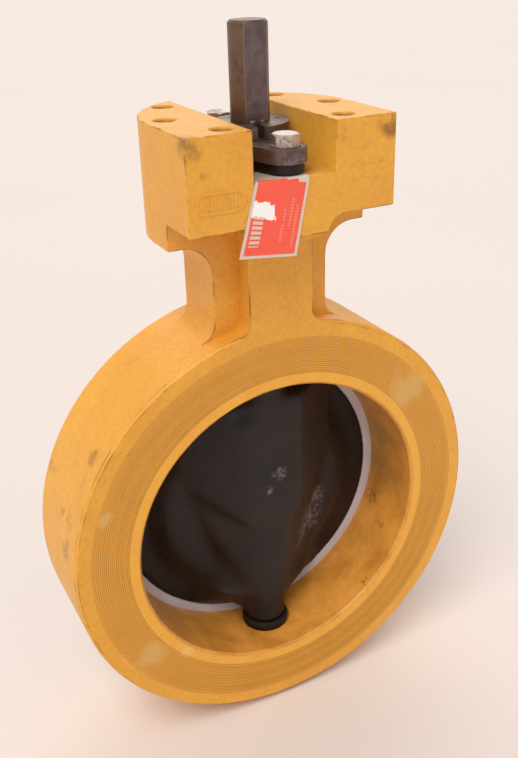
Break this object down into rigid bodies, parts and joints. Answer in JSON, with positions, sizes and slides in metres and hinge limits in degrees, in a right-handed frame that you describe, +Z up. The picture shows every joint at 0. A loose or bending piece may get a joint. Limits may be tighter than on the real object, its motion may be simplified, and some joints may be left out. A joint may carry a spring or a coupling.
{
  "type": "butterfly valve",
  "caption": "Wafer butterfly valve with a flat mounting head, an open gland, a bare flatted stem and an offset disc that turns a quarter turn to open the port.",
  "frame": {"origin": "middle of the foot's underside, straight below the stem's axis", "axes": "+Z up along the stem, +Y along the pipe from the stem's side of the disc to the seat's side, +X to the right seen from the front"},
  "size_m": [0.216, 0.0892, 0.345],
  "materials": {
    "yellow_paint": "worn semi-gloss yellow paint over cast steel",
    "seat_plastic": "plain",
    "bright_steel": "turned",
    "dark_steel": "turned",
    "disc_coating": "dark brown-black coating over cast steel",
    "stem_steel": "turned, a little stained",
    "gland_steel": "stained steel",
    "bolt_steel": "forged",
    "bronze": "turned bearing bronze",
    "packing": "plain",
    "gasket": "plain",
    "red_foil": "red foil with a pale border"
  },
  "bodies": {
    "valve_body": {"body": "yellow_paint", "seat": "seat_plastic", "seat_spring_ring": "bright_steel", "retainer_ring": "dark_steel", "retainer_screws": "bright_steel", "upper_bearing": "bronze", "lower_bearing": "bronze", "upper_thrust_washer": "bright_steel", "lower_thrust_collar": "disc_coating", "packing_washer": "bright_steel", "packing_ring_1": "packing", "packing_ring_2": "packing", "packing_ring_3": "packing", "packing_ring_4": "packing", "gland_follower": "stem_steel", "gland_spacer": "disc_coating", "gland_flange": "gland_steel", "gland_bolts": "bolt_steel", "bolt_washers": "bolt_steel", "bottom_plug": "dark_steel", "plug_gasket": "gasket", "tag": "red_foil"},
    "disc_and_stem": {"disc": "disc_coating", "stem": "stem_steel", "disc_pins": "bright_steel", "stem_collar": "gland_steel"}
  },
  "joints": [
    {"name": "quarter_turn", "type": "hinge", "parent": "valve_body", "child": "disc_and_stem", "pos_m": [0, 0, 0.11], "axis": [0, 0, 1], "range_deg": [0, 90]}
  ]
}
